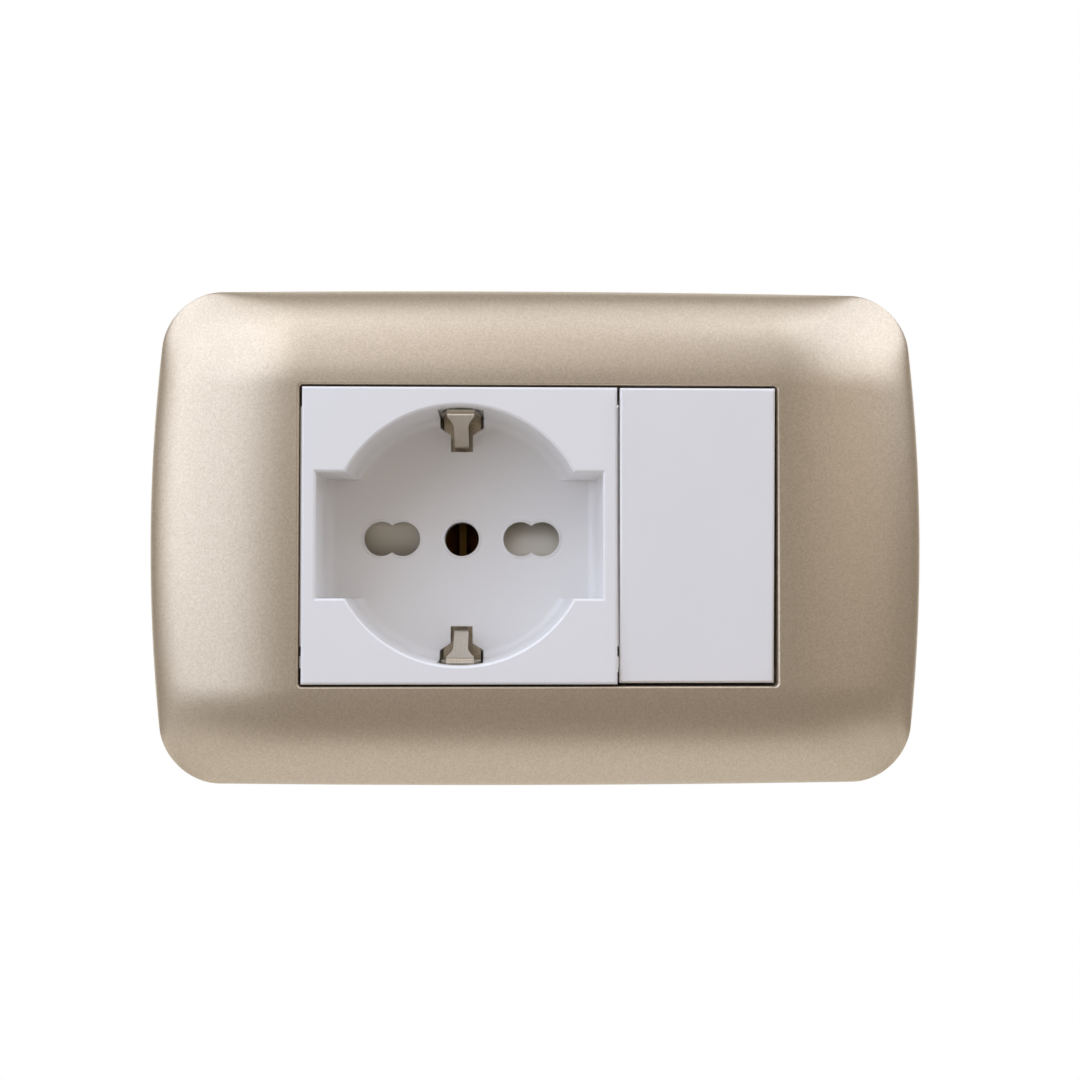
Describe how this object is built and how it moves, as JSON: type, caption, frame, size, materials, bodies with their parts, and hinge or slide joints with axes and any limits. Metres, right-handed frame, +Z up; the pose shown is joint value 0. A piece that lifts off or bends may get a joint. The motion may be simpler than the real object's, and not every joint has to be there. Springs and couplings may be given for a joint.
{
  "type": "schuko socket",
  "caption": "Flush earthed wall socket with a shuttered round well beside a plain rocker switch, under a pillow-shaped metallic cover plate.",
  "frame": {"origin": "on the wall plane, midway between the two box screws", "axes": "+X right along the row of modules as seen from the front, +Y into the wall, +Z up"},
  "size_m": [0.12, 0.0413, 0.077],
  "materials": {
    "metallic_plate": "satin metallic paint",
    "dark_plastic": "matt",
    "white_plastic": "satin",
    "inner_plastic": "matt",
    "shutter_plastic": "matt",
    "zinc_steel": "zinc plated",
    "spring_steel": "drawn",
    "nickel_sheet": "nickel plated",
    "brass_sheet": "rolled",
    "silver_contact": "plain"
  },
  "bodies": {
    "fixed": {"cover_plate": "metallic_plate", "mounting_frame": "dark_plastic", "box_screw_left": "zinc_steel", "box_screw_right": "zinc_steel", "socket_front": "white_plastic", "socket_base": "inner_plastic", "socket_screw_upper": "zinc_steel", "socket_screw_lower": "zinc_steel", "contact_cover": "inner_plastic", "shutter_spring": "spring_steel", "earth_strap": "nickel_sheet", "earth_contact": "brass_sheet", "earth_rivets": "brass_sheet", "live_contact": "brass_sheet", "neutral_contact": "brass_sheet", "live_clamp": "zinc_steel", "earth_clamp": "zinc_steel", "neutral_clamp": "zinc_steel", "live_terminal_screw": "zinc_steel", "earth_terminal_screw": "zinc_steel", "neutral_terminal_screw": "zinc_steel", "switch_housing": "inner_plastic", "switch_base": "inner_plastic", "fixed_contact": "silver_contact", "common_terminal": "brass_sheet", "output_terminal": "brass_sheet", "common_clamp": "zinc_steel", "output_clamp": "zinc_steel", "common_terminal_screw": "zinc_steel", "output_terminal_screw": "zinc_steel"},
    "rocker": {"rocker_cap": "white_plastic", "rocker_cradle": "inner_plastic", "plunger_spring": "spring_steel"},
    "push_rod": {"plunger": "inner_plastic"},
    "see_saw": {"contact_blade": "brass_sheet", "moving_contact": "silver_contact"},
    "pin_shutter": {"shutter": "shutter_plastic"}
  },
  "joints": [
    {"name": "rocker_tilt", "type": "hinge", "parent": "fixed", "child": "rocker", "pos_m": [0.024, -0.0054, 0.00015], "axis": [1, 0, 0], "range_deg": [-5, 0]},
    {"name": "plunger_slide", "type": "slide", "parent": "rocker", "child": "push_rod", "axis": [0, -0.999, -0.0436], "range_m": [0, 0.0003], "stiffness_N_per_m": 400, "springref_m": -0.001, "deforming": ["plunger_spring"]},
    {"name": "see_saw_tilt", "type": "hinge", "parent": "fixed", "child": "see_saw", "pos_m": [0.024, 0.0092, 0.00015], "axis": [1, 0, 0], "range_deg": [0, 12]},
    {"name": "shutter_turn", "type": "hinge", "parent": "fixed", "child": "pin_shutter", "pos_m": [-0.012, 0.01185, 0], "axis": [0, 1, 0], "range_deg": [0, 40], "stiffness_Nm_per_rad": 0.004, "springref_deg": -20.05, "deforming": ["shutter_spring"]}
  ],
  "couplings": [
    {"joint": "see_saw_tilt", "follows": "rocker_tilt", "ratio": -2.4}
  ]
}
